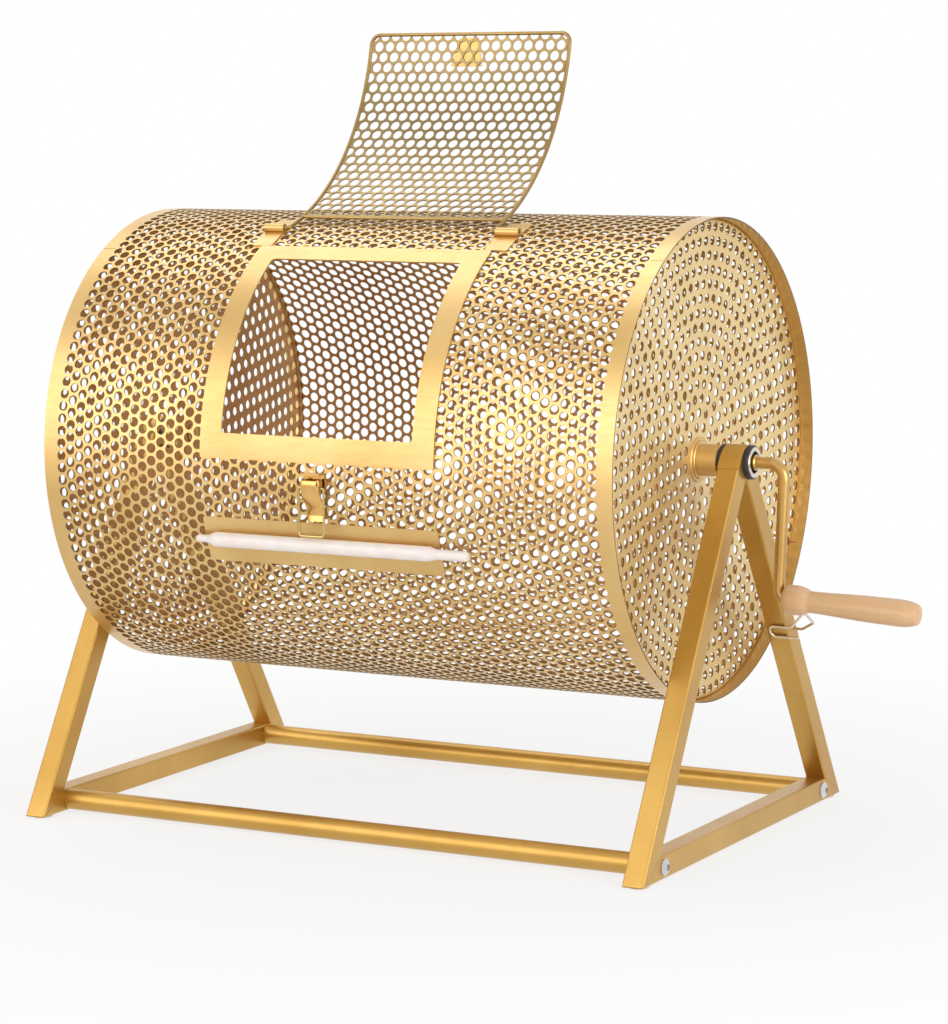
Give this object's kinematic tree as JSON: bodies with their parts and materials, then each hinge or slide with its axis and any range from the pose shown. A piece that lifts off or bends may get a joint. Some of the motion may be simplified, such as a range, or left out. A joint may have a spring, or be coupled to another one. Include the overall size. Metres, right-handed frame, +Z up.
{
  "type": "raffle drum with crank",
  "caption": "Perforated metal raffle drum lying on a tube stand, with a hinged lid over a window, a draw latch and a bent crank with a turned wooden grip.",
  "frame": {"origin": "on the floor, under the middle of the drum", "axes": "+X along the drum's axis to the crank's end, +Y to the rear, away from the window, +Z up"},
  "size_m": [0.7488, 0.4125, 0.6689],
  "materials": {
    "drum_coating": "satin light gold coating",
    "lid_coating": "flat light gold coating",
    "lid_wire_coating": "satin gold coating",
    "stand_coating": "satin gold coating",
    "shaft_coating": "satin gold coating",
    "latch_brass": "polished plating",
    "beech": "clear lacquer",
    "black_plastic": "moulded",
    "white_plastic": "cloudy, slightly see-through",
    "bright_steel": "bright drawn wire and turned steel",
    "chrome": "polished",
    "pale_pad": "moulded"
  },
  "bodies": {
    "stand": {"left_bearing_housing": "stand_coating", "left_front_leg": "stand_coating", "left_rear_leg": "stand_coating", "left_base_rail": "stand_coating", "left_bearing_bushes": "black_plastic", "left_bearing_ring": "bright_steel", "right_bearing_housing": "stand_coating", "right_front_leg": "stand_coating", "right_rear_leg": "stand_coating", "right_base_rail": "stand_coating", "right_bearing_bushes": "black_plastic", "right_bearing_ring": "bright_steel", "front_crossbar": "stand_coating", "rear_crossbar": "stand_coating", "crossbar_end_plugs": "black_plastic", "crossbar_bolts": "chrome", "foot_pads": "pale_pad"},
    "drum": {"drum_shell": "drum_coating", "left_end_disc": "drum_coating", "left_hub": "drum_coating", "left_stop_collar": "shaft_coating", "left_hinge_strap": "drum_coating", "right_end_disc": "drum_coating", "right_hub": "drum_coating", "right_stop_collar": "shaft_coating", "right_hinge_strap": "drum_coating", "hub_grub_screws": "bright_steel", "crank_rod": "shaft_coating", "left_stub_axle": "shaft_coating", "grip_snap_ring": "bright_steel", "window_frame": "drum_coating", "latch_plate": "drum_coating", "white_bar": "white_plastic", "latch_base": "latch_brass", "latch_pin": "latch_brass"},
    "grip": {"crank_grip": "beech"},
    "lid": {"lid_frame": "lid_wire_coating", "lid_cross_wire": "lid_wire_coating", "lid_panel": "lid_coating", "lid_catch": "lid_coating"},
    "latch_lever": {"latch_lever": "latch_brass"},
    "latch_bail": {"latch_bail": "latch_brass"},
    "crank_catch": {"crank_catch": "bright_steel"}
  },
  "joints": [
    {"name": "drum_spin", "type": "hinge", "parent": "stand", "child": "drum", "pos_m": [0, 0, 0.316], "axis": [1, 0, 0], "continuous": true},
    {"name": "grip_spin", "type": "hinge", "parent": "drum", "child": "grip", "pos_m": [0.32097, 0, 0.20512], "axis": [0.9989, 0, -0.0471], "continuous": true},
    {"name": "lid_hinge", "type": "hinge", "parent": "drum", "child": "lid", "pos_m": [0, -0.07742, 0.50478], "axis": [1, 0, 0], "range_deg": [0, 186]},
    {"name": "latch_lever_hinge", "type": "hinge", "parent": "drum", "child": "latch_lever", "pos_m": [0, -0.206, 0.307], "axis": [-1, 0, 0], "range_deg": [0, 105]},
    {"name": "latch_bail_hinge", "type": "hinge", "parent": "latch_lever", "child": "latch_bail", "pos_m": [0, -0.2068, 0.302], "axis": [-1, 0, 0], "range_deg": [0, 60]},
    {"name": "catch_slide", "type": "slide", "parent": "stand", "child": "crank_catch", "axis": [0, 0.5213, -0.8534], "range_m": [-0.015, 0.12]}
  ]
}
